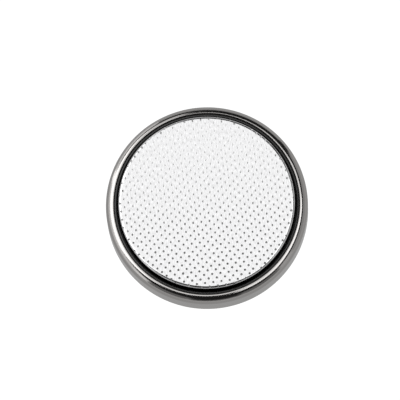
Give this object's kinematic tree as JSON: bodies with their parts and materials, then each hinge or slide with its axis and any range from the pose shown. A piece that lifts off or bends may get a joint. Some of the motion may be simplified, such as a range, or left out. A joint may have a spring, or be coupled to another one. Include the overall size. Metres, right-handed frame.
{
  "type": "lithium coin cell",
  "caption": "Round sealed lithium coin cell: a steel can rolled in over a black seal, round a raised negative cap covered in small dimples.",
  "frame": {"origin": "centre of the can's flat outer face, the positive contact, on which the cell lies", "axes": "+Z along the cell's axis towards the negative cap; +X and +Y in the flat face"},
  "size_m": [0.0244, 0.0244, 0.005],
  "materials": {
    "can_steel": "satin stainless sheet, plated, with fine draw marks",
    "seal_plastic": "moulded black polypropylene",
    "cap_steel": "bright rolled stainless sheet with punched dimples",
    "lithium_metal": "soft dull metal foil",
    "separator_felt": "thin white nonwoven felt",
    "cathode_powder": "matt pressed black powder",
    "ring_steel": "satin stainless sheet"
  },
  "bodies": {
    "root": {"positive_can": "can_steel", "gasket": "seal_plastic", "negative_cap": "cap_steel", "lithium_anode": "lithium_metal", "separator": "separator_felt", "cathode_pellet": "cathode_powder", "cathode_ring": "ring_steel"}
  },
  "joints": []
}
